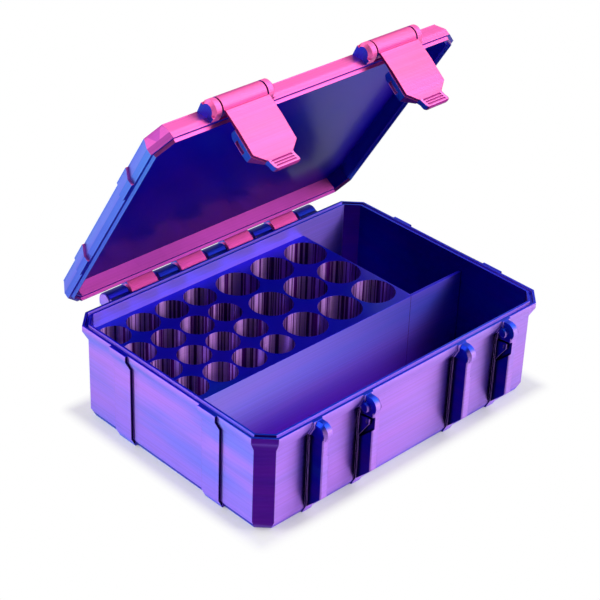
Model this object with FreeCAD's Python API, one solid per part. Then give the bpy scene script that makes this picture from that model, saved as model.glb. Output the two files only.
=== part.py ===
import FreeCAD, Part
import os
import math

# Vial case: a printed box with a hinged lid, two swinging latches and a rack of 25 wells.
# Millimetres. X runs along the front, Y from front to back, Z up.
# The origin is the middle of the footprint on the surface that the case stands on.
os.makedirs("parts", exist_ok=True)
V = FreeCAD.Vector

# Outline shared by the case and the lid
case_length = 209.0
case_depth = 150.0
corner_cut = 9.5
rim_height = 58.6
rim_band = 3.5
rim_slope = 5.8
rim_overhang = 3.0
rim_width = 4.5
foot_height = 5.5
foot_inset = 2.7
floor_thickness = 2.4
half_x = case_length / 2
half_y = case_depth / 2

# Seal: a groove in the case's rim and a tapered tongue under the lid's rim
groove_start = 1.5
groove_end = 3.2
groove_depth = 2.0
tongue_root = (1.7, 3.0)
tongue_tip = (2.3, 2.7)
tongue_height = 1.6

# Lid
closed_gap = 0.2
lid_height = 9.8
lid_inner_depth = 8.0
lid_base = rim_height + closed_gap
open_angle = 57.9

# Raised bands on the left and right sides, on the case and the lid
band_width = 13.2
band_offset = 34.5
band_rise = 1.5

# Hinge along the back
hinge_y = half_y + 6.3
hinge_z = rim_height - 4.1
knuckle_radius = 5.2
knuckle_bevel = 0.8
knuckle_pitch = 35.0
case_knuckle = 14.6
lid_knuckle = 19.6
case_knuckle_x = [-70.0, -35.0, 0.0, 35.0, 70.0]
lid_knuckle_x = [-52.5, -17.5, 17.5, 52.5]
pin_radius = 1.5
running_clearance = 0.08
blind_wall = 3.0

# Latches: each swings between two lid ears and closes between two case ribs
latch_x = [-52.2, 52.2]
latch_gap = 30.0
side_clearance = 0.9
rib_thickness = 5.0
rib_reach = 7.0
rib_bottom = 4.0
rib_edge = 0.6
strip_width = 0.7
strip_rise = 1.0
ear_radius = 5.2
ear_bevel = 1.7
barrel_clearance = 0.4
pivot_y = -half_y - 3.4
pivot_z = lid_base + ear_radius + 0.1
rib_ear_z = rim_height - ear_radius - 0.1
plate_face = 4.6
plate_thickness = 2.5
neck_thickness = 1.4
claw_top = 14.4
claw_inner = 2.6
claw_bottom = 31.0
plate_corner = 29.9
plate_end = 35.0
plate_cut = 6.0
crease_z = 16.0
crease_rise = 0.5
edge_groove_back = 1.3
edge_groove_width = 0.5
edge_groove_depth = 0.8
tab_end = 41.5
tab_radius = 2.3
grip_radius = 0.42
grip_spacing = 1.6
latch_tuck = 7.0
latch_slot = (18.9, 25.7)
latch_slot_depth = 1.6

# Catch studs and detent wedges on the inner faces of the ribs
stud_radius = 2.6
stud_y = -half_y - 2.3
stud_z = rim_height - 6.2
stud_out = 2.2
stud_in = 2.0
wedge_depth = 1.5
wedge_out = 0.6
wedge_gap = 0.8
wedge_top = rim_height - 11.6
wedge_mouth = 6.4
wedge_height = 15.6
wedge_set_back = 2.2

# Rack of small and large wells, set in from the case's left and back walls
fit_clearance = 0.3
rack_drop = 8.6
well_floor = 5.0
small_radius = 9.25
small_pitch = (19.9, 20.7)
small_count = 4
small_margin = (10.4, 12.2)
large_radius = 12.25
large_pitch = (25.9, 27.2)
large_count = 3
large_margin = 15.6
group_pitch = 24.55
right_margin = 13.35
front_margin = 13.0
small_facets = 32
large_facets = 36
divider_thickness = 2.0
divider_tongue = 1.4
rack_top = rim_height - rack_drop
rack_left = -half_x + rim_width + fit_clearance
rack_back = half_y - rim_width - fit_clearance
small_x = rack_left + small_margin[0]
small_y = rack_back - small_margin[1]
large_x = small_x + small_pitch[0] * (small_count - 1) + group_pitch
large_y = rack_back - large_margin
rack_right = large_x + large_pitch[0] * (large_count - 1) + right_margin
rack_front = small_y - small_pitch[1] * (small_count - 1) - front_margin


def flat(points):
    return Part.Face(Part.makePolygon(points + [points[0]]))


def outline(inset, z):
    x = half_x - inset
    y = half_y - inset
    c = corner_cut - inset * (2 - math.sqrt(2))
    corners = [(-x + c, -y), (x - c, -y), (x, -y + c), (x, y - c)]
    corners += [(x - c, y), (-x + c, y), (-x, y - c), (-x, -y + c)]
    return [V(px, py, z) for px, py in corners]


def stack(levels):
    # The eight-sided outline with its inset at each height, from the bottom up
    rings = [outline(inset, z) for inset, z in levels]
    faces = [flat(rings[0]), flat(rings[-1])]
    for low, high in zip(rings, rings[1:]):
        for a in range(8):
            b = (a + 1) % 8
            faces.append(flat([low[a], low[b], high[b], high[a]]))
    return Part.makeSolid(Part.makeShell(faces))


def slab(inset, z0, z1):
    return stack([(inset, z0), (inset, z1)])


def cavity(gap, top):
    # The inside of the case, drawn in by a gap from its walls
    foot = rim_width + foot_inset * (1 - floor_thickness / foot_height)
    levels = [(foot + gap, floor_thickness), (rim_width + gap, foot_height), (rim_width + gap, top)]
    return stack(levels)


def side_prism(points, x0, x1):
    # A profile in Y and Z, drawn out along X
    return flat([V(x0, y, z) for y, z in points]).extrude(V(x1 - x0, 0, 0))


def front_prism(points, y0, y1):
    # A profile in X and Z, drawn out along Y
    return flat([V(x, y0, z) for x, z in points]).extrude(V(0, y1 - y0, 0))


def rod(radius, x0, x1, y, z):
    return Part.makeCylinder(radius, x1 - x0, V(x0, y, z), V(1, 0, 0))


def bevelled_rod(radius, x0, x1, y, z, bevel):
    along = V(1, 0, 0)
    first = Part.makeCone(radius - bevel, radius, bevel, V(x0, y, z), along)
    last = Part.makeCone(radius, radius - bevel, bevel, V(x1 - bevel, y, z), along)
    return rod(radius, x0 + bevel, x1 - bevel, y, z).fuse([first, last])


def ear_rod(x0, x1, y, z, side):
    # A round ear with a bevel on its outer side only; side is -1 at x0 and 1 at x1
    along = V(1, 0, 0)
    if side < 0:
        end = Part.makeCone(ear_radius - ear_bevel, ear_radius, ear_bevel, V(x0, y, z), along)
        return rod(ear_radius, x0 + ear_bevel, x1, y, z).fuse(end)
    end = Part.makeCone(ear_radius, ear_radius - ear_bevel, ear_bevel, V(x1 - ear_bevel, y, z), along)
    return rod(ear_radius, x0, x1 - ear_bevel, y, z).fuse(end)


def joined(solids):
    return solids[0].fuse(solids[1:]).removeSplitter()


def save(shape, node):
    shape.exportStep("parts/" + node + ".step")


def case_section(rise):
    # Distances outwards from the rim, for a band that stands out from the case by its rise
    inner = 0.1 - rim_width
    return [
        (inner, foot_height),
        (inner - foot_inset, 0),
        (rise - rim_overhang - foot_inset, 0),
        (rise - rim_overhang, foot_height),
        (rise - rim_overhang, slope_base),
        (rise, rim_height - rim_band),
        (rise, rim_height),
        (inner, rim_height),
    ]


def side_bands(section):
    bands = []
    for side in (-1, 1):
        for middle in (-band_offset, band_offset):
            points = [(side * (half_x + out), z) for out, z in section]
            bands.append(front_prism(points, middle - band_width / 2, middle + band_width / 2))
    return bands


def opened(shape):
    # From the closed lid to the open lid of the photograph
    turned = shape.copy()
    turned.rotate(V(0, hinge_y, hinge_z), V(1, 0, 0), -open_angle)
    return turned


# Case shell
slope_base = rim_height - rim_band - rim_slope
body = stack([
    (rim_overhang + foot_inset, 0),
    (rim_overhang, foot_height),
    (rim_overhang, slope_base),
    (0, rim_height - rim_band),
    (0, rim_height),
])
additions = side_bands(case_section(band_rise))

# Ribs beside each latch, with a bevelled nose level with the rim
wall_y = -half_y + rim_overhang + 0.5
rib_front = -half_y - rib_reach
nose_y = pivot_y
rib_profile = [
    (wall_y, rib_bottom),
    (rib_front, rib_bottom + wall_y - rib_front),
    (rib_front, rib_ear_z - 3.0),
    (nose_y - ear_radius + 1.2, rib_ear_z),
    (nose_y, rib_ear_z + 1.0),
    (wall_y, rib_ear_z + 1.0),
]
rib_starts = []
for middle in latch_x:
    rib_starts += [middle - latch_gap / 2 - rib_thickness, middle + latch_gap / 2]
rib_sides = [-1, 1] * len(latch_x)
for x0, side in zip(rib_starts, rib_sides):
    x1 = x0 + rib_thickness
    additions.append(side_prism(rib_profile, x0, x1))
    additions.append(ear_rod(x0, x1, nose_y, rib_ear_z, side))
    top = rib_ear_z + ear_radius
    outer, inner = (x0, x1) if side < 0 else (x1, x0)
    shoulder = [(outer, rib_ear_z), (inner, rib_ear_z), (inner, top)]
    shoulder += [(outer - side * ear_bevel, top), (outer, top - ear_bevel)]
    additions.append(front_prism(shoulder, nose_y, wall_y))
    strip = [(-half_y - out, z) for out, z in case_section(strip_rise)]
    additions.append(side_prism(strip, x0 - strip_width, x1 + strip_width))

# Case knuckles on tapered webs
web_top = rim_height - 0.6
back_wall = half_y - rim_overhang - 0.5
web_back = hinge_y + knuckle_radius
web_profile = [
    (back_wall, web_top),
    (hinge_y - 3.0, web_top),
    (hinge_y, hinge_z),
    (web_back, hinge_z),
    (web_back, hinge_z - 2.0),
    (back_wall, hinge_z - 2.0 - (web_back - back_wall)),
]
for middle in case_knuckle_x:
    x0 = middle - case_knuckle / 2
    x1 = middle + case_knuckle / 2
    additions.append(side_prism(web_profile, x0 + knuckle_bevel, x1 - knuckle_bevel))
    additions.append(bevelled_rod(knuckle_radius, x0, x1, hinge_y, hinge_z, knuckle_bevel))
body = joined([body] + additions)

# Hollow, seal groove, hinge bore, stud holes and wedge pockets
hollow = cavity(0, rim_height + 20)
groove = slab(groove_start, rim_height - groove_depth, rim_height + 20)
groove = groove.cut(slab(groove_end, rim_height - groove_depth - 1, rim_height + 21))
pin_start = case_knuckle_x[0] - case_knuckle / 2 + blind_wall
pin_end = case_knuckle_x[-1] + case_knuckle / 2
bore = rod(pin_radius, pin_start, pin_end + 1, hinge_y, hinge_z)
body = body.cut([hollow, groove, bore])

pocket_back = -half_y + rim_overhang - strip_rise - 0.2
pocket_profile = [
    (pocket_back, wedge_top - wedge_height),
    (pocket_back, wedge_top - 0.4),
    (rib_front - 1, wedge_top + 0.6),
    (rib_front - 1, wedge_top - wedge_mouth + 0.6),
]
wedge_profile = [
    (pocket_back, wedge_top - wedge_height + wedge_gap * 2),
    (pocket_back, wedge_top - 0.4 - wedge_gap),
    (rib_front + wedge_set_back + 0.9, wedge_top + 0.3 - wedge_gap),
    (rib_front + wedge_set_back, wedge_top - 0.8),
    (rib_front + wedge_set_back, wedge_top - wedge_mouth + 2.2),
    (rib_front + wedge_set_back + 0.9, wedge_top - wedge_mouth + 1.1),
]
cuts = []
for x0 in rib_starts:
    for edge, step in ((x0, rib_edge), (x0 + rib_thickness, -rib_edge)):
        nick = [V(edge, rib_front, rib_bottom), V(edge + step, rib_front, rib_bottom)]
        nick.append(V(edge, rib_front + rib_edge, rib_bottom))
        cuts.append(flat(nick).extrude(V(0, 0, rib_ear_z - 3.0 - rib_bottom)))
studs = []
wedges = []
for middle in latch_x:
    for side in (-1, 1):
        face = middle + side * latch_gap / 2
        deep = face + side * stud_in
        tip = face - side * stud_out
        low, high = min(deep, tip), max(deep, tip)
        stud = bevelled_rod(stud_radius, low, high, stud_y, stud_z, 0.5)
        studs.append(stud)
        cuts.append(stud)
        back = face + side * wedge_depth
        front = face - side * wedge_out
        cuts.append(side_prism(pocket_profile, min(back, face), max(back, face)))
        wedge = side_prism(wedge_profile, min(back, front), max(back, front))
        mark_x = front if side > 0 else front - 0.3
        mark_corner = V(mark_x, rib_front + wedge_set_back + 1.0, wedge_top - 4.6)
        wedges.append(wedge.cut(Part.makeBox(0.3, 0.9, 2.8, mark_corner)))
body = body.cut(cuts)
save(body, "case_shell")
for number, stud in enumerate(studs, 1):
    save(stud, "catch_stud_%d" % number)
for number, wedge in enumerate(wedges, 1):
    save(wedge, "detent_wedge_%d" % number)

# Rack with blind faceted wells
rack = Part.makeBox(rack_right + half_x, half_y - rack_front, rack_top, V(-half_x, rack_front, 0))
rack = rack.common(cavity(fit_clearance, rack_top))


def well_group(radius, facets, first_x, first_y, pitch, count):
    wells = []
    for column in range(count):
        for row in range(count):
            cx = first_x + column * pitch[0]
            cy = first_y - row * pitch[1]
            points = []
            for i in range(facets):
                a = 2 * math.pi * (i + 0.5) / facets
                points.append(V(cx + radius * math.cos(a), cy + radius * math.sin(a), well_floor))
            wells.append(flat(points).extrude(V(0, 0, rack_top)))
    return wells


wells = well_group(small_radius, small_facets, small_x, small_y, small_pitch, small_count)
wells += well_group(large_radius, large_facets, large_x, large_y, large_pitch, large_count)
slot_x = rack_right - divider_tongue
panel = Part.makeBox(half_x - slot_x, divider_thickness, rack_top, V(slot_x, rack_front, 0))
save(rack.cut(wells + [panel]), "vial_rack")
save(panel.common(cavity(fit_clearance, rack_top)), "divider_panel")
save(rod(pin_radius, pin_start, pin_end, hinge_y, hinge_z), "hinge_pin")

# Lid, drawn closed
lid_top = lid_base + lid_height
lid_slope_top = lid_base + rim_band + rim_slope
lid = stack([
    (0, lid_base),
    (0, lid_base + rim_band),
    (rim_overhang, lid_slope_top),
    (rim_overhang, lid_top),
])
inner_line = 0.1 - rim_width
lid_band = [
    (inner_line, lid_base),
    (band_rise, lid_base),
    (band_rise, lid_base + rim_band),
    (band_rise - rim_overhang, lid_slope_top),
    (band_rise - rim_overhang, lid_top),
    (inner_line, lid_top),
]
additions = side_bands(lid_band)
inner_y = -half_y + rim_overhang + 0.5
ear_profile = [
    (inner_y, lid_base),
    (pivot_y, pivot_z - ear_radius),
    (pivot_y, pivot_z + ear_radius),
    (inner_y, lid_top),
]
for x0, side in zip(rib_starts, rib_sides):
    x1 = x0 + rib_thickness
    additions.append(side_prism(ear_profile, x0, x1))
    additions.append(ear_rod(x0, x1, pivot_y, pivot_z, side))
arm_front = hinge_y - knuckle_radius
arm_profile = [
    (half_y - rim_overhang - 0.5, lid_base),
    (arm_front, lid_base),
    (arm_front, hinge_z),
    (web_back, hinge_z),
    (web_back, hinge_z + 2.0),
    (half_y - rim_overhang, lid_slope_top),
    (half_y - rim_overhang - 0.5, lid_slope_top),
]
for middle in lid_knuckle_x:
    x0 = middle - lid_knuckle / 2
    x1 = middle + lid_knuckle / 2
    additions.append(side_prism(arm_profile, x0 + knuckle_bevel, x1 - knuckle_bevel))
    additions.append(bevelled_rod(knuckle_radius, x0, x1, hinge_y, hinge_z, knuckle_bevel))
lid = joined([lid] + additions)
tongue = stack([(tongue_tip[0], lid_base - tongue_height), (tongue_root[0], lid_base)])
tongue = tongue.cut(stack([(tongue_tip[1], lid_base - tongue_height), (tongue_root[1], lid_base)]))
lid_hollow = slab(rim_width, lid_base - 20, lid_base + lid_inner_depth)
lid_bore = rod(pin_radius + running_clearance, -half_x, half_x, hinge_y, hinge_z)
pins = []
recesses = []
for middle in latch_x:
    start = middle - latch_gap / 2 - rib_thickness + blind_wall / 2
    end = middle + latch_gap / 2 + rib_thickness
    pins.append(rod(pin_radius, start, end, pivot_y, pivot_z))
    low, high = middle - latch_gap / 2, middle + latch_gap / 2
    recesses.append(rod(ear_radius + barrel_clearance, low, high, pivot_y, pivot_z))
lid = lid.cut([lid_hollow, lid_bore] + recesses + pins).fuse(tongue)
save(opened(lid), "lid_shell")
save(opened(pins[0]), "latch_pin_left")
save(opened(pins[1]), "latch_pin_right")


def latch(middle):
    # Drawn hanging straight down from its pivot
    x0 = middle - latch_gap / 2 + side_clearance
    x1 = middle + latch_gap / 2 - side_clearance
    face = pivot_y - plate_face
    inside = face + plate_thickness
    neck = face + neck_thickness
    claw = pivot_y + claw_inner
    body_profile = [
        (face, pivot_z - 4.7),
        (face + 0.9, pivot_z - 3.8),
        (face + 0.9, pivot_z),
        (inside + 1.2, pivot_z),
        (neck, pivot_z - 6.6),
        (neck, pivot_z - claw_top - 0.6),
        (neck + 0.6, pivot_z - claw_top),
        (claw - 1.6, pivot_z - claw_top),
        (claw, pivot_z - claw_top - 2.0),
        (claw, pivot_z - 28.6),
        (claw - 0.7, pivot_z - 30.6),
        (claw - 3.0, pivot_z - plate_end),
        (face, pivot_z - plate_end),
        (face - crease_rise, pivot_z - crease_z),
    ]
    solid = side_prism(body_profile, x0, x1)
    for side, edge in ((-1, x0), (1, x1)):
        corner = [
            (edge + side, pivot_z - plate_corner),
            (edge, pivot_z - plate_corner),
            (edge - side * plate_cut, pivot_z - plate_end),
            (edge - side * plate_cut, pivot_z - plate_end - 1),
            (edge + side, pivot_z - plate_end - 1),
        ]
        solid = solid.cut(front_prism(corner, face - 5, face + 12))
    # A narrow groove parts the plate from the thick claw behind it
    inset = edge_groove_depth
    groove_top = pivot_z - claw_top - 0.8
    core = [
        (x0 + inset, groove_top),
        (x0 + inset, pivot_z - plate_corner + 0.5 * inset),
        (x0 + plate_cut + 0.35 * inset, pivot_z - plate_end + inset),
        (x1 - plate_cut - 0.35 * inset, pivot_z - plate_end + inset),
        (x1 - inset, pivot_z - plate_corner + 0.5 * inset),
        (x1 - inset, groove_top),
    ]
    rim = [
        (x0 - 1, groove_top),
        (x0 - 1, pivot_z - plate_end - 1),
        (x1 + 1, pivot_z - plate_end - 1),
        (x1 + 1, groove_top),
    ]
    groove_y = face + edge_groove_back
    ring = front_prism(rim, groove_y, groove_y + edge_groove_width)
    ring = ring.cut(front_prism(core, groove_y - 1, groove_y + edge_groove_width + 1))
    solid = solid.cut(ring)
    tab_profile = [
        (face, pivot_z - plate_end + 1.5),
        (face - 0.6, pivot_z - plate_end - 1.2),
        (face - 2.3, pivot_z - tab_end + 0.8),
        (face - 1.5, pivot_z - tab_end),
        (face + 0.9, pivot_z - tab_end + 0.3),
        (face + 1.6, pivot_z - tab_end + 1.4),
        (face + 2.2, pivot_z - plate_end - 2.2),
        (face + 3.4, pivot_z - plate_end - 0.3),
        (face + 3.4, pivot_z - plate_end + 1.5),
    ]
    tab_x0 = x0 + plate_cut
    tab_x1 = x1 - plate_cut
    tab = side_prism(tab_profile, tab_x0, tab_x1)
    for side, edge in ((-1, tab_x0), (1, tab_x1)):
        centre_x = edge - side * tab_radius
        centre_z = pivot_z - tab_end + tab_radius
        corner = Part.makeBox(
            tab_radius + 1,
            20,
            tab_radius + 1,
            V(min(centre_x, centre_x + side * (tab_radius + 1)), face - 10, centre_z - tab_radius - 1),
        )
        corner = corner.cut(Part.makeCylinder(tab_radius, 22, V(centre_x, face - 11, centre_z), V(0, 1, 0)))
        tab = tab.cut(corner)
    for step in range(3):
        z = pivot_z - plate_end - 1.0 - grip_spacing * step
        y = face - 0.55 - 0.59 * step
        tab = tab.cut(rod(grip_radius, tab_x0 + 1.8, tab_x1 - 1.8, y, z))
    solid = joined([solid, tab, rod(ear_radius, x0, x1, pivot_y, pivot_z)])
    for low, high in ((x0, x0 + latch_slot_depth), (x1 - latch_slot_depth, x1)):
        pocket = Part.makeBox(
            high - low,
            2.3,
            latch_slot[1] - latch_slot[0],
            V(low, pivot_y - 0.2, pivot_z - latch_slot[1]),
        )
        solid = solid.cut(pocket)
    solid = solid.cut(rod(pin_radius + running_clearance, x0 - 1, x1 + 1, pivot_y, pivot_z))
    solid.rotate(V(0, pivot_y, pivot_z), V(1, 0, 0), latch_tuck)
    return solid


save(opened(latch(latch_x[0])), "latch_left")
save(opened(latch(latch_x[1])), "latch_right")
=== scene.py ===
import math

import bmesh
import bpy
from mathutils import Matrix, Vector

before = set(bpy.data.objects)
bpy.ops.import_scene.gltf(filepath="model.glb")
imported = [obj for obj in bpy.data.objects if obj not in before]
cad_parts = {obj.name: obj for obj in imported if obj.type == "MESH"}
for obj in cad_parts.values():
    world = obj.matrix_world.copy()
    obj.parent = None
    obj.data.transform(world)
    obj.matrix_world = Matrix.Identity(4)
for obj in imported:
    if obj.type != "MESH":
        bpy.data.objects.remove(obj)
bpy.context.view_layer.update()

bl_info = {
    "name": "Vial case",
    "version": (1, 0, 0),
    "blender": (4, 5, 0),
    "location": "3D View > Sidebar > Vial case",
    "description": "Gives the printed vial case its silk two-colour finish and sets its stage",
    "category": "Object",
}

# The hinge, and how far the lid and the latches are turned from how they were printed
HINGE = Vector((0.0, 0.0813, 0.0545))
OPEN_ANGLE = math.radians(57.9)
LATCH_TUCK = math.radians(7.0)

# Limits, in metres on the print, of the places that have a colour of their own
INNER_X = 0.1004  # just inside the left and right walls
INNER_Y = 0.0708  # just inside the front wall
BACK_Y = 0.0745  # the back's outer face and the knuckles are behind it
RIBS_Y = -0.0716  # the ribs are before it
RIM_Z = 0.05  # the rim is above it
CORNER_X = 0.085  # the corners are beyond it
CORNER_SUM = 0.164  # an outer corner has more than this in x and y together
WELLS_Y = -0.0168  # the wells are behind it
EARS_Y = -0.0755  # the lid's ears are before it
PLATE_Y = -0.0793  # a latch's plate is before it
PLATE_Z = 0.0485  # a latch's tab is under it
HAIR = 0.00001  # half the width of a sharp change of colour

# Points closer than this are one, and angles from which an edge is rounded or stays crisp
SAME_POINT = 0.000002
EDGE_ANGLE = math.radians(38)
CRISP_ANGLE = math.radians(30)

# Camera of the picture: its place, the way it looks, its roll and the side it is on
CAMERA_PLACE = (-0.5712, -0.5654, 0.5597)
CAMERA_LOOK = (0.59905, 0.60386, -0.52583)
CAMERA_ROLL = 0.039
CAMERA_SIDE = (-0.707, -0.707, 0)

# Lamps
LAMP_SIZE = 0.9
LAMP_AIM = Vector((0, 0, 0.05))
KEY_PLACE = (0.75, -0.75, 0.95)
FILL_PLACE = (-0.95, 0.6, 0.8)

# Floor: from its middle to its edge, half the case's length and depth, and how far from the
# case its shadow begins to fade and is gone
FLOOR_REACH = 4.0
HALF_CASE = (0.1045, 0.075, 0)
FADE_FROM = -0.005
FADE_TO = 0.009


# Helpers
def linear(hex_colour):
    """An sRGB hex colour as the linear RGBA that a shader socket takes."""
    values = []
    for i in (0, 2, 4):
        c = int(hex_colour[i : i + 2], 16) / 255
        values.append(c / 12.92 if c <= 0.04045 else ((c + 0.055) / 1.055) ** 2.4)
    return (*values, 1.0)


def add(tree, kind, inputs=(), **settings):
    """One node with its settings; an input is a value or the socket that feeds it."""
    node = tree.nodes.new("ShaderNode" + kind)
    for name, value in settings.items():
        setattr(node, name, value)
    for key, value in dict(inputs).items():
        if isinstance(value, bpy.types.NodeSocket):
            tree.links.new(value, node.inputs[key])
        else:
            node.inputs[key].default_value = value
    return node


def past(limit):
    """Where a colour begins and is full, for a sharp limit that it lies above."""
    return limit - HAIR, limit + HAIR


def under(limit):
    """Where a colour begins and is full, for a sharp limit that it lies below."""
    return limit + HAIR, limit - HAIR


def laid_over(tree, colour, rows):
    """Lays colours over a first one. A row holds a colour and the ramps that bound it: each is
    a socket, its value where the colour begins, and its value where the colour is full."""
    for over, *ramps in rows:
        weight = 1.0
        for socket, begins, full in ramps:
            ramp = add(
                tree,
                "MapRange",
                {"Value": socket, "From Min": begins, "From Max": full, "To Max": weight},
                interpolation_type="SMOOTHSTEP",
            )
            weight = ramp.outputs[0]
        mix = add(tree, "Mix", {"Factor": weight, 6: colour, 7: over}, data_type="RGBA")
        colour = mix.outputs[2]
    return colour


def swatch(label, hex_colour, about="Colour that the silk filament shows on this side"):
    return bpy.props.FloatVectorProperty(
        name=label,
        description=about,
        subtype="COLOR",
        size=4,
        min=0.0,
        max=1.0,
        default=linear(hex_colour),
    )


def length_mm(label, value, about):
    return bpy.props.FloatProperty(
        name=label, description=about, default=value / 1000, min=0.0, unit="LENGTH", precision=5
    )


def share(label, value, about):
    return bpy.props.FloatProperty(
        name=label, description=about, default=value, min=0.0, max=1.0, subtype="FACTOR"
    )


# Settings
class CaseColours(bpy.types.PropertyGroup):
    front: swatch("Front", "BC86F8")
    far: swatch("Front, right end", "C090F8")
    left: swatch("Left", "B086FA")
    right: swatch("Right", "9480FA")
    back: swatch("Back", "A878F0")
    up: swatch("Up", "2448FF")
    down: swatch("Down", "5A78F0")
    # Painted shade: the case's corners darkened to a deep purple, as a dark reflection of the
    # camera's side of the room
    corner: swatch("Corner", "5A14A8")
    # Painted shade: the ribs' sides and the walls inside the case, dark where they reflect the
    # dark walls beside them
    shaded_sides: swatch("Between ribs and walls", "0A08A8")
    # Painted shade: the inner back wall a darker copy of the front's colour
    inner: swatch("Inner back wall", "9C78F8")
    # Painted shade: the case's knuckles a darker navy than its rim
    knuckle: swatch("Knuckles", "181CA8")
    # Painted shade along the ribs' feet and on the steps of the bands along the side walls
    wall_shade: swatch("Feet of the ribs", "060240")
    cool: swatch("Left, where it drifts", "9084FC")


class RackColours(bpy.types.PropertyGroup):
    front: swatch("Front", "B49CFF")
    far: swatch("Front, right end", "6A5CF0")
    left: swatch("Left", "A868FF")
    right: swatch("Right", "A868FF")
    back: swatch("Back", "B070FF")
    up: swatch("Up", "2428FF")
    down: swatch("Down", "3A20B0")
    corner: swatch("Corner", "8A48D0")
    shaded_sides: swatch("Inner sides", "A070F0")
    # Painted light: the backs inside the wells lighter than the rack's front
    inner: swatch("Inner back", "E0A0FF")
    knuckle: swatch("Edge", "1430E0")
    # Painted reflection: the dark stripes inside the wells
    reflection_stripe: swatch("Dark stripes", "500078")
    # Painted shade where the case's front wall shades the low part of the rack's front
    low: swatch("Front, low down", "7A2CC0")


class LidColours(bpy.types.PropertyGroup):
    front: swatch("Front", "FF6CBC")
    far: swatch("Front, right end", "FF6CBC")
    left: swatch("Left", "5C8CFF")
    right: swatch("Right", "5C8CFF")
    back: swatch("Back", "D060D0")
    up: swatch("Up", "C060E0")
    down: swatch("Down", "0006B4")
    corner: swatch("Corner", "BC4EB0")
    # Painted shade on the lid's ear sides and inner side walls
    shaded_sides: swatch("Ear sides", "2A4CE0")
    # Painted shade: the inner back wall darker than the front, where it reflects the dark inside
    # of the lid
    inner: swatch("Inner back wall", "B844A0")
    knuckle: swatch("Knuckles", "D44C98")


class LatchColours(bpy.types.PropertyGroup):
    front: swatch("Front", "FF6CB0")
    far: swatch("Front, right end", "FF6CB0")
    left: swatch("Left", "3068E8")
    right: swatch("Right", "2040C8")
    back: swatch("Back", "9040C0")
    up: swatch("Up", "D04898")
    down: swatch("Down", "A03090")
    corner: swatch("Corner", "E060C0")
    shaded_sides: swatch("Sides", "2E60E0")
    inner: swatch("Inner", "9040C0")
    knuckle: swatch("Tab", "FF84DA")
    # The plate's own dark edge, and painted shade under the tab's grips
    edge_and_grip_shade: swatch("Edge of the plate", "8A1868")


class Finish(bpy.types.PropertyGroup):
    layer: length_mm("Layer lines", 0.8, "Spacing of the printed lines that show")
    layer_depth: length_mm("Line depth", 0.03, "Depth of the printed lines")
    streak: length_mm("Streaks", 16.0, "Height of the bands where the filament's colour drifts")
    streak_length: length_mm("Streak length", 111.11, "Length of those bands along a wall")
    thread_length: length_mm("Threads", 333.33, "Length of the lighter and darker threads")
    # Width of the painted reflection stripes inside the wells
    reflection_stripe: length_mm("Well stripes", 1.2, "Width of the upright stripes inside the wells")
    # Reach of the painted shade along the ribs' feet
    wall_shade: length_mm("Ribs' feet", 6.0, "How far the dark along the ribs' feet reaches")
    case_edge: length_mm("Case edges", 0.25, "Width of the round on the case's edges")
    rack_edge: length_mm("Rack edges", 0.15, "Width of the round on the rack's edges")
    latch_edge: length_mm("Latch edges", 0.2, "Width of the round on the latches' edges")
    pin_edge: length_mm("Pin edges", 0.4, "Width of the round on the pins' ends")
    roughness: share("Roughness", 0.45, "How far the silk plastic spreads its gloss")
    metallic: share("Metallic", 0.95, "How much the silk pigment acts as a mirror")


class Stage(bpy.types.PropertyGroup):
    floor_colour: swatch("Floor", "FBFBFC", "Colour of the paper sweep")
    patches: length_mm("Patches", 16.667, "Width of the duller and glossier patches of paper")
    key_power: bpy.props.FloatProperty(
        name="Key light",
        description="Power of the large soft lamp",
        default=9.0,
        min=0.0,
        unit="POWER",
    )
    fill_power: bpy.props.FloatProperty(
        name="Fill light",
        description="Power of the lamp on the left",
        default=8.0,
        min=0.0,
        unit="POWER",
    )
    sky: bpy.props.FloatProperty(
        name="Sky", description="Strength of the even light from all round", default=0.62, min=0.0
    )
    dim: share("Camera side", 0.15, "Share of the even light that comes from behind the camera")
    lens: bpy.props.FloatProperty(
        name="Lens",
        description="Focal length of the camera, whose sensor is 36 mm wide",
        default=106.47,
        min=1.0,
        unit="CAMERA",
    )
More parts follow.
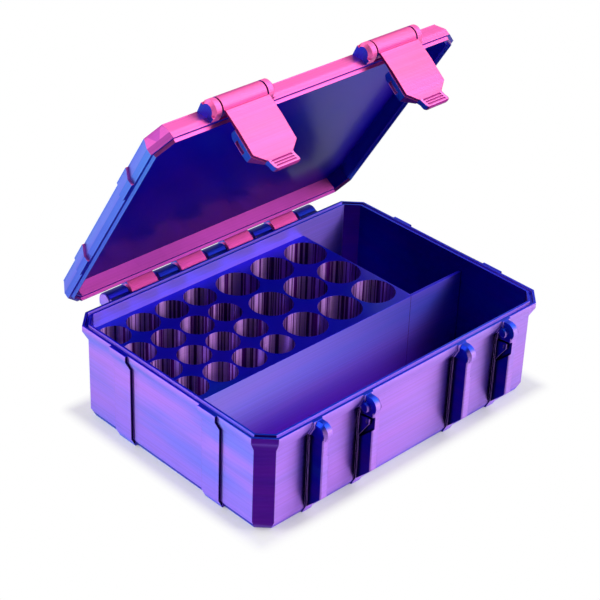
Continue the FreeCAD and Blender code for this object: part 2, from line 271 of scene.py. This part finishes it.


# Silk PLA, printed in two-colour filament: satin gloss with fine lines along each layer,
# and a colour that changes with the side of the print that is seen, with painted shade and
# light laid over it in places
def silk_pla(
    name,
    colours,
    finish,
    turn=0.0,
    inner_from=-INNER_Y,
    wells=False,
    plate=False,
    ribs=False,
    ears=False,
    set_in=False,
):
    """The finish of one print; turn takes it from its place here to how it was printed, and
    inner_from is where the walls that look forward inside it begin. Wells adds the painted
    reflections in upright stripes inside the wells, plate the darker edge of a latch's plate
    and painted shade under its grips, ribs the painted shade in dark bands along the case's
    ribs, and ears the one colour all round the lid's ears. Set_in lets the pieces around a
    small one cast painted shade on it too."""
    material = bpy.data.materials.new(name)
    material.use_nodes = True
    tree = material.node_tree
    tree.nodes.clear()

    # The side that is seen, and the place on the print
    place = add(tree, "TexCoord")
    facing = add(
        tree,
        "Mapping",
        {"Vector": place.outputs["Normal"], "Rotation": (turn, 0, 0)},
        vector_type="VECTOR",
    )
    shift = HINGE - Matrix.Rotation(turn, 3, "X") @ HINGE
    spot = add(
        tree,
        "Mapping",
        {"Vector": place.outputs["Object"], "Location": shift, "Rotation": (turn, 0, 0)},
        vector_type="POINT",
    )
    to_right, to_back, to_top = add(tree, "SeparateXYZ", {0: facing.outputs[0]}).outputs
    x, y, z = add(tree, "SeparateXYZ", {0: spot.outputs[0]}).outputs
    out = add(tree, "Math", {0: x}, operation="ABSOLUTE").outputs[0]
    cross = add(tree, "Math", {0: to_right, 1: to_back}, operation="MULTIPLY").outputs[0]
    aslant = add(tree, "Math", {0: cross}, operation="ABSOLUTE").outputs[0]
    in_walls = (out, *under(INNER_X))
    before = (y, *under(BACK_Y))
    behind = (y, *past(BACK_Y))
    on_tab = (z, *under(PLATE_Z))
    sloping = (to_top, -0.2, -0.5)

    # The strand's two colours drift a little from layer to layer, in level bands
    run = 1 / finish.streak_length
    drift = add(
        tree, "Mapping", {"Vector": spot.outputs[0], "Scale": (run, run, 1 / finish.streak)}
    )
    bands = add(
        tree, "TexNoise", {"Vector": drift.outputs[0], "Scale": 1.0, "Detail": 3.0}
    ).outputs[0]

    # Sides, with painted shade on those inside the walls
    rows = [(colours.right, (to_right, -0.3, 0.3)), (colours.shaded_sides, in_walls, before)]
    if ribs:
        drifting = [(colours.cool, (bands, 0.4, 0.66)), (colours.cool, (z, 0.036, -0.006))]
        rows = drifting + rows
    if plate:
        on_plate = ((y, *under(PLATE_Y)), (z, *past(PLATE_Z)))
        rows.append((colours.edge_and_grip_shade, in_walls, before, *on_plate))
    colour = laid_over(tree, colours.left, rows)

    # Front and back
    rows = [(colours.far, (x, -0.1, 0.1))]
    if wells:
        # Painted shade on the low part of the rack's front, under the case's front wall
        rows.append((colours.low, (z, 0.04, 0.004)))
    if ribs:
        # Painted shade on the steps of the bands along the side walls
        rows.append((colours.wall_shade, (out, *past(INNER_X)), (y, *past(RIBS_Y))))
    if plate:
        rows.append((colours.knuckle, on_tab))
    # Painted shade and light: walls inside the piece that look forward get a colour of their own
    rows.append((colours.inner, in_walls, before, (y, *past(inner_from))))
    rows.append((colours.knuckle, behind))
    forward = laid_over(tree, colours.front, rows)
    rows = [(forward, (to_back, -0.35, -0.6)), (colours.back, (to_back, 0.55, 0.85))]

    # Corners, with painted shade on the case's: the lid's inner ones have the colour of its
    # ceiling
    corner = colours.corner
    if ribs:
        # The case's corners that slope down take the painted shade of its inner back wall
        corner = laid_over(tree, corner, [(colours.inner, sloping)])
    if ears:
        depth = add(tree, "Math", {0: y}, operation="ABSOLUTE").outputs[0]
        reach = add(tree, "Math", {0: out, 1: depth}, operation="ADD").outputs[0]
        corner = laid_over(tree, colours.down, [(corner, (reach, *past(CORNER_SUM)))])
    rows.append((corner, (aslant, 0.32, 0.45), (out, *past(CORNER_X))))

    # Tops and undersides
    top = laid_over(tree, colours.up, [(colours.knuckle, behind)])
    rows.append((top, (to_top, 0.35, 0.85)))
    if plate:
        # Painted shade on the undersides of the tab's three grips
        rows.append((colours.edge_and_grip_shade, (to_top, 0.25, 0.05), on_tab, (to_back, -0.2, -0.4)))
    if ribs:
        # Of the case's slopes, only those on its sides have the colour of its undersides
        rows.append((colours.down, sloping, (to_back, -0.3, -0.1)))
        rows.append((colours.down, (to_top, -0.75, -0.95)))
    else:
        rows.append((colours.down, (to_top, -0.35, -0.85)))
    if ears:
        across = add(tree, "Math", {0: to_right}, operation="ABSOLUTE").outputs[0]
        rows.append((colours.front, (y, *under(EARS_Y)), (across, 0.92, 0.86)))
    if wells:
        # Painted reflections: upright stripes inside the wells, as the faceted walls of a well
        # would reflect light and dark parts of the room
        upright = add(
            tree,
            "Mapping",
            {"Vector": spot.outputs[0], "Scale": (1 / finish.reflection_stripe, 1 / finish.reflection_stripe, 0.0)},
        )
        facet_reflections = add(
            tree, "TexNoise", {"Vector": upright.outputs[0], "Scale": 1.0, "Detail": 1.0}
        ).outputs[0]
        rows.append((colours.reflection_stripe, (aslant, 0.02, 0.12), (facet_reflections, 0.53, 0.45)))
    if ribs:
        # Painted shade along the ribs' feet, where the gloss would show only the ribs' own dark
        # sides
        wall_shade = add(
            tree, "AmbientOcclusion", {"Distance": finish.wall_shade}, samples=8, only_local=not set_in
        ).outputs["AO"]
        outside = ((y, *under(RIBS_Y)), (z, *under(RIM_Z)))
        rows.append((colours.wall_shade, (wall_shade, 0.88, 0.76), *outside))
    colour = laid_over(tree, colour, rows)

    # The drift in hue, and threads that are a little lighter or darker. A thread is a little
    # taller than a printed line.
    run = 1 / finish.thread_length
    fine = add(
        tree, "Mapping", {"Vector": spot.outputs[0], "Scale": (run, run, 0.9 / finish.layer)}
    )
    threads = add(tree, "TexNoise", {"Vector": fine.outputs[0], "Scale": 1.0, "Detail": 1.0})
    hue = add(
        tree,
        "MapRange",
        {"Value": bands, "From Min": 0.3, "From Max": 0.7, "To Min": 0.516, "To Max": 0.488},
    )
    shade = add(
        tree,
        "MapRange",
        {
            "Value": threads.outputs[0],
            "From Min": 0.3,
            "From Max": 0.7,
            "To Min": 0.94,
            "To Max": 1.06,
        },
    )
    tint = add(
        tree,
        "HueSaturation",
        {"Hue": hue.outputs[0], "Value": shade.outputs[0], "Color": colour},
    )

    # Printed lines, drawn about four times as wide as the real 0.2 mm layers so that they show.
    # They run level round the walls and slantwise over the flat tops.
    level = add(tree, "Math", {0: z, 1: 2 * math.pi / finish.layer}, operation="MULTIPLY")
    plan = add(tree, "Math", {0: x, 1: y}, operation="ADD")
    slant = add(
        tree,
        "Math",
        {0: plan.outputs[0], 1: math.sqrt(2) * math.pi / finish.layer},
        operation="MULTIPLY",
    )
    walls = add(tree, "Math", {0: level.outputs[0]}, operation="SINE")
    tops = add(tree, "Math", {0: slant.outputs[0]}, operation="SINE")
    steep = add(tree, "Math", {0: to_top}, operation="ABSOLUTE")
    on_top = add(
        tree,
        "MapRange",
        {"Value": steep.outputs[0], "From Min": 0.8, "From Max": 0.95},
        interpolation_type="SMOOTHSTEP",
    ).outputs[0]
    lines = add(
        tree,
        "Mix",
        {"Factor": on_top, 2: walls.outputs[0], 3: tops.outputs[0]},
        data_type="FLOAT",
    )
    bump = add(
        tree,
        "Bump",
        {"Height": lines.outputs[0], "Strength": 0.9, "Distance": finish.layer_depth},
    )

    # The lines spread the gloss up and down the wall and keep it narrow along the wall
    upwards = add(
        tree,
        "VectorTransform",
        {0: (0.02, 0.02 + math.sin(turn), math.cos(turn))},
        vector_type="VECTOR",
        convert_from="OBJECT",
        convert_to="WORLD",
    )
    coat = add(tree, "Math", {0: on_top, 1: 0.3}, operation="MULTIPLY")
    skin = add(
        tree,
        "BsdfPrincipled",
        {
            "Base Color": tint.outputs[0],
            "Metallic": finish.metallic,
            "Roughness": finish.roughness,
            "Anisotropic": 0.92,
            "Coat Weight": coat.outputs[0],
            "Coat Roughness": 0.2,
            "Normal": bump.outputs[0],
            "Tangent": upwards.outputs[0],
        },
    )
    add(tree, "OutputMaterial", {"Surface": skin.outputs[0]})
    return material


def dress(names, material, edge):
    """Gives CAD nodes their finish, and the small round edge that a nozzle leaves.
    With no edge, flat faces stay crisp and only the round ones are smooth."""
    for name in names:
        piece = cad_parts[name]
        piece.data.materials.clear()
        piece.data.materials.append(material)
        weld = piece.modifiers.new("weld", "WELD")
        weld.merge_threshold = SAME_POINT
        if not edge:
            split = piece.modifiers.new("split", "EDGE_SPLIT")
            split.split_angle = CRISP_ANGLE
            continue
        bevel = piece.modifiers.new("edge", "BEVEL")
        bevel.width = edge
        bevel.segments = 2
        bevel.limit_method = "ANGLE"
        bevel.angle_limit = EDGE_ANGLE
        bevel.loop_slide = False
        bevel.use_clamp_overlap = False
        bevel.miter_outer = "MITER_ARC"
        normals = piece.modifiers.new("normals", "WEIGHTED_NORMAL")
        normals.weight = 100


def numbered(stem):
    """The nodes whose names start with a stem, such as catch_stud."""
    return [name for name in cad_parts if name.startswith(stem)]


# Operators
class DressCase(bpy.types.Operator):
    """Finish the case shell with its catch studs and detent wedges"""

    bl_idname = "vial_case.dress_case"
    bl_label = "Case shell"

    def execute(self, context):
        colours = context.scene.case_colours
        finish = context.scene.print_finish
        shell = silk_pla("silk_pla_case", colours, finish, ribs=True)
        dress(["case_shell"], shell, finish.case_edge)
        catch = silk_pla("silk_pla_catches", colours, finish, ribs=True, set_in=True)
        dress(numbered("catch_stud") + numbered("detent_wedge"), catch, finish.case_edge)
        return {"FINISHED"}


class DressRack(bpy.types.Operator):
    """Finish the vial rack and the divider panel"""

    bl_idname = "vial_case.dress_rack"
    bl_label = "Rack and divider"

    def execute(self, context):
        colours = context.scene.rack_colours
        finish = context.scene.print_finish
        rack = silk_pla("silk_pla_rack", colours, finish, inner_from=WELLS_Y, wells=True)
        dress(["vial_rack", "divider_panel"], rack, finish.rack_edge)
        return {"FINISHED"}


class DressLid(bpy.types.Operator):
    """Finish the lid, whose colours turn with it"""

    bl_idname = "vial_case.dress_lid"
    bl_label = "Lid"

    def execute(self, context):
        colours = context.scene.lid_colours
        finish = context.scene.print_finish
        lid = silk_pla("silk_pla_lid", colours, finish, turn=OPEN_ANGLE, ears=True)
        dress(["lid_shell"], lid, edge=0)
        return {"FINISHED"}


class DressLatches(bpy.types.Operator):
    """Finish the two latches"""

    bl_idname = "vial_case.dress_latches"
    bl_label = "Latches"

    def execute(self, context):
        colours = context.scene.latch_colours
        finish = context.scene.print_finish
        turn = OPEN_ANGLE - LATCH_TUCK
        latch = silk_pla("silk_pla_latch", colours, finish, turn=turn, plate=True)
        dress(["latch_left", "latch_right"], latch, finish.latch_edge)
        return {"FINISHED"}


class DressPins(bpy.types.Operator):
    """Finish the hinge pin and the latch pins"""

    bl_idname = "vial_case.dress_pins"
    bl_label = "Pins"

    def execute(self, context):
        finish = context.scene.print_finish
        pin = silk_pla("silk_pla_pins", context.scene.case_colours, finish)
        dress(["hinge_pin", "latch_pin_left", "latch_pin_right"], pin, finish.pin_edge)
        return {"FINISHED"}


# Matt white paper: no gloss to speak of, and patches of it too faint to see as a pattern
def matt_white_paper(stage):
    """The sweep under the case. It fades to plain white away from the case, where the lamps no
    longer reach it."""
    paper = bpy.data.materials.new("matt_white_paper")
    paper.use_nodes = True
    tree = paper.node_tree
    tree.nodes.clear()
    place = add(tree, "TexCoord")
    patches = add(
        tree,
        "TexNoise",
        {"Vector": place.outputs["Object"], "Scale": 1 / stage.patches, "Detail": 2.0},
    )
    tone = add(tree, "MapRange", {"Value": patches.outputs[0], "To Min": 0.5, "To Max": 0.62})
    surface = add(
        tree,
        "BsdfPrincipled",
        {
            "Base Color": stage.floor_colour,
            "Roughness": tone.outputs[0],
            "Specular IOR Level": 0.2,
        },
    )
    path = add(tree, "LightPath")
    spread = add(tree, "VectorMath", {0: place.outputs["Object"]}, operation="ABSOLUTE")
    beyond = add(tree, "VectorMath", {0: spread.outputs[0], 1: HALF_CASE}, operation="SUBTRACT")
    outside = add(tree, "VectorMath", {0: beyond.outputs[0], 1: (0, 0, 0)}, operation="MAXIMUM")
    distance = add(tree, "VectorMath", {0: outside.outputs[0]}, operation="LENGTH")
    far = add(
        tree,
        "MapRange",
        {"Value": distance.outputs["Value"], "From Min": FADE_FROM, "From Max": FADE_TO},
        interpolation_type="SMOOTHSTEP",
    )
    fade = add(
        tree,
        "Math",
        {0: far.outputs[0], 1: path.outputs["Is Camera Ray"]},
        operation="MULTIPLY",
    )
    white = add(tree, "Emission", {"Color": (1, 1, 1, 1), "Strength": 1.0})
    seen = add(
        tree, "MixShader", {0: fade.outputs[0], 1: surface.outputs[0], 2: white.outputs[0]}
    )
    add(tree, "OutputMaterial", {"Surface": seen.outputs[0]})
    return paper


def white_room(stage):
    """Even light from all round, darker on the side that the picture was taken from."""
    world = bpy.data.worlds.new("white_room")
    world.use_nodes = True
    tree = world.node_tree
    tree.nodes.clear()
    path = add(tree, "LightPath")
    way = add(tree, "TexCoord").outputs["Generated"]
    level = add(tree, "VectorMath", {0: way, 1: (1, 1, 0)}, operation="MULTIPLY")
    flat = add(tree, "VectorMath", {0: level.outputs[0]}, operation="NORMALIZE")
    near = add(
        tree,
        "VectorMath",
        {0: flat.outputs[0], 1: CAMERA_SIDE},
        operation="DOT_PRODUCT",
    )
    strength = add(
        tree,
        "MapRange",
        {
            "Value": near.outputs["Value"],
            "From Min": 0.45,
            "From Max": 0.95,
            "To Min": stage.sky,
            "To Max": stage.sky * stage.dim,
        },
        interpolation_type="SMOOTHSTEP",
    )
    even = add(tree, "Background", {"Color": (1, 1, 1, 1), "Strength": strength.outputs[0]})
    white = add(tree, "Background", {"Color": (1, 1, 1, 1), "Strength": 1.0})
    seen = add(
        tree,
        "MixShader",
        {0: path.outputs["Is Camera Ray"], 1: even.outputs[0], 2: white.outputs[0]},
    )
    add(tree, "OutputWorld", {"Surface": seen.outputs[0]})
    return world


def soft_lamp(name, place, power):
    """A square lamp that looks at the middle of the case."""
    data = bpy.data.lights.new(name, "AREA")
    data.shape = "SQUARE"
    data.size = LAMP_SIZE
    data.energy = power
    lamp = bpy.data.objects.new(name, data)
    lamp.location = place
    lamp.rotation_euler = (LAMP_AIM - Vector(place)).to_track_quat("-Z", "Y").to_euler()
    bpy.context.scene.collection.objects.link(lamp)


def picture_camera(lens):
    """The camera of the picture, from its place, the way it looks and its roll."""
    data = bpy.data.cameras.new("camera")
    data.lens = lens
    data.sensor_width = 36.0
    data.clip_end = 20.0
    camera = bpy.data.objects.new("camera", data)
    look = Vector(CAMERA_LOOK).normalized()
    right = look.cross(Vector((0, 0, 1))).normalized()
    up = right.cross(look)
    turned = right * math.cos(CAMERA_ROLL) + up * math.sin(CAMERA_ROLL)
    basis = Matrix((turned, turned.cross(look), -look)).transposed().to_4x4()
    camera.matrix_world = Matrix.Translation(CAMERA_PLACE) @ basis
    return camera


class SetStage(bpy.types.Operator):
    """Pale floor, soft lamps and the camera of the picture"""

    bl_idname = "vial_case.set_stage"
    bl_label = "Stage"

    def execute(self, context):
        scene = context.scene
        stage = scene.case_stage
        mesh = bpy.data.meshes.new("floor")
        sheet = bmesh.new()
        bmesh.ops.create_grid(sheet, x_segments=8, y_segments=8, size=FLOOR_REACH)
        sheet.to_mesh(mesh)
        sheet.free()
        mesh.materials.append(matt_white_paper(stage))
        floor = bpy.data.objects.new("floor", mesh)
        scene.collection.objects.link(floor)
        scene.world = white_room(stage)
        soft_lamp("key_lamp", KEY_PLACE, stage.key_power)
        soft_lamp("fill_lamp", FILL_PLACE, stage.fill_power)
        scene.camera = picture_camera(stage.lens)
        scene.collection.objects.link(scene.camera)
        scene.view_settings.view_transform = "Standard"
        return {"FINISHED"}


OPERATORS = (DressCase, DressRack, DressLid, DressLatches, DressPins, SetStage)
SETTINGS = {
    "case_colours": CaseColours,
    "rack_colours": RackColours,
    "lid_colours": LidColours,
    "latch_colours": LatchColours,
    "print_finish": Finish,
    "case_stage": Stage,
}


class VialCasePanel(bpy.types.Panel):
    """Lists the case's pieces and settings"""

    bl_idname = "VIEW3D_PT_vial_case"
    bl_label = "Vial case"
    bl_space_type = "VIEW_3D"
    bl_region_type = "UI"
    bl_category = "Vial case"

    def draw(self, context):
        for operator in OPERATORS:
            self.layout.operator(operator.bl_idname)
        for name, kind in SETTINGS.items():
            box = self.layout.box()
            box.label(text=kind.__name__)
            for key in kind.__annotations__:
                box.prop(getattr(context.scene, name), key)


def register():
    for kind in (*SETTINGS.values(), *OPERATORS, VialCasePanel):
        bpy.utils.register_class(kind)
    for name, kind in SETTINGS.items():
        setattr(bpy.types.Scene, name, bpy.props.PointerProperty(type=kind))


def unregister():
    for name in SETTINGS:
        delattr(bpy.types.Scene, name)
    for kind in reversed((*SETTINGS.values(), *OPERATORS, VialCasePanel)):
        bpy.utils.unregister_class(kind)


def main():
    register()
    bpy.ops.vial_case.dress_case()
    bpy.ops.vial_case.dress_rack()
    bpy.ops.vial_case.dress_lid()
    bpy.ops.vial_case.dress_latches()
    bpy.ops.vial_case.dress_pins()
    bpy.ops.vial_case.set_stage()


if __name__ == "__main__":
    main()
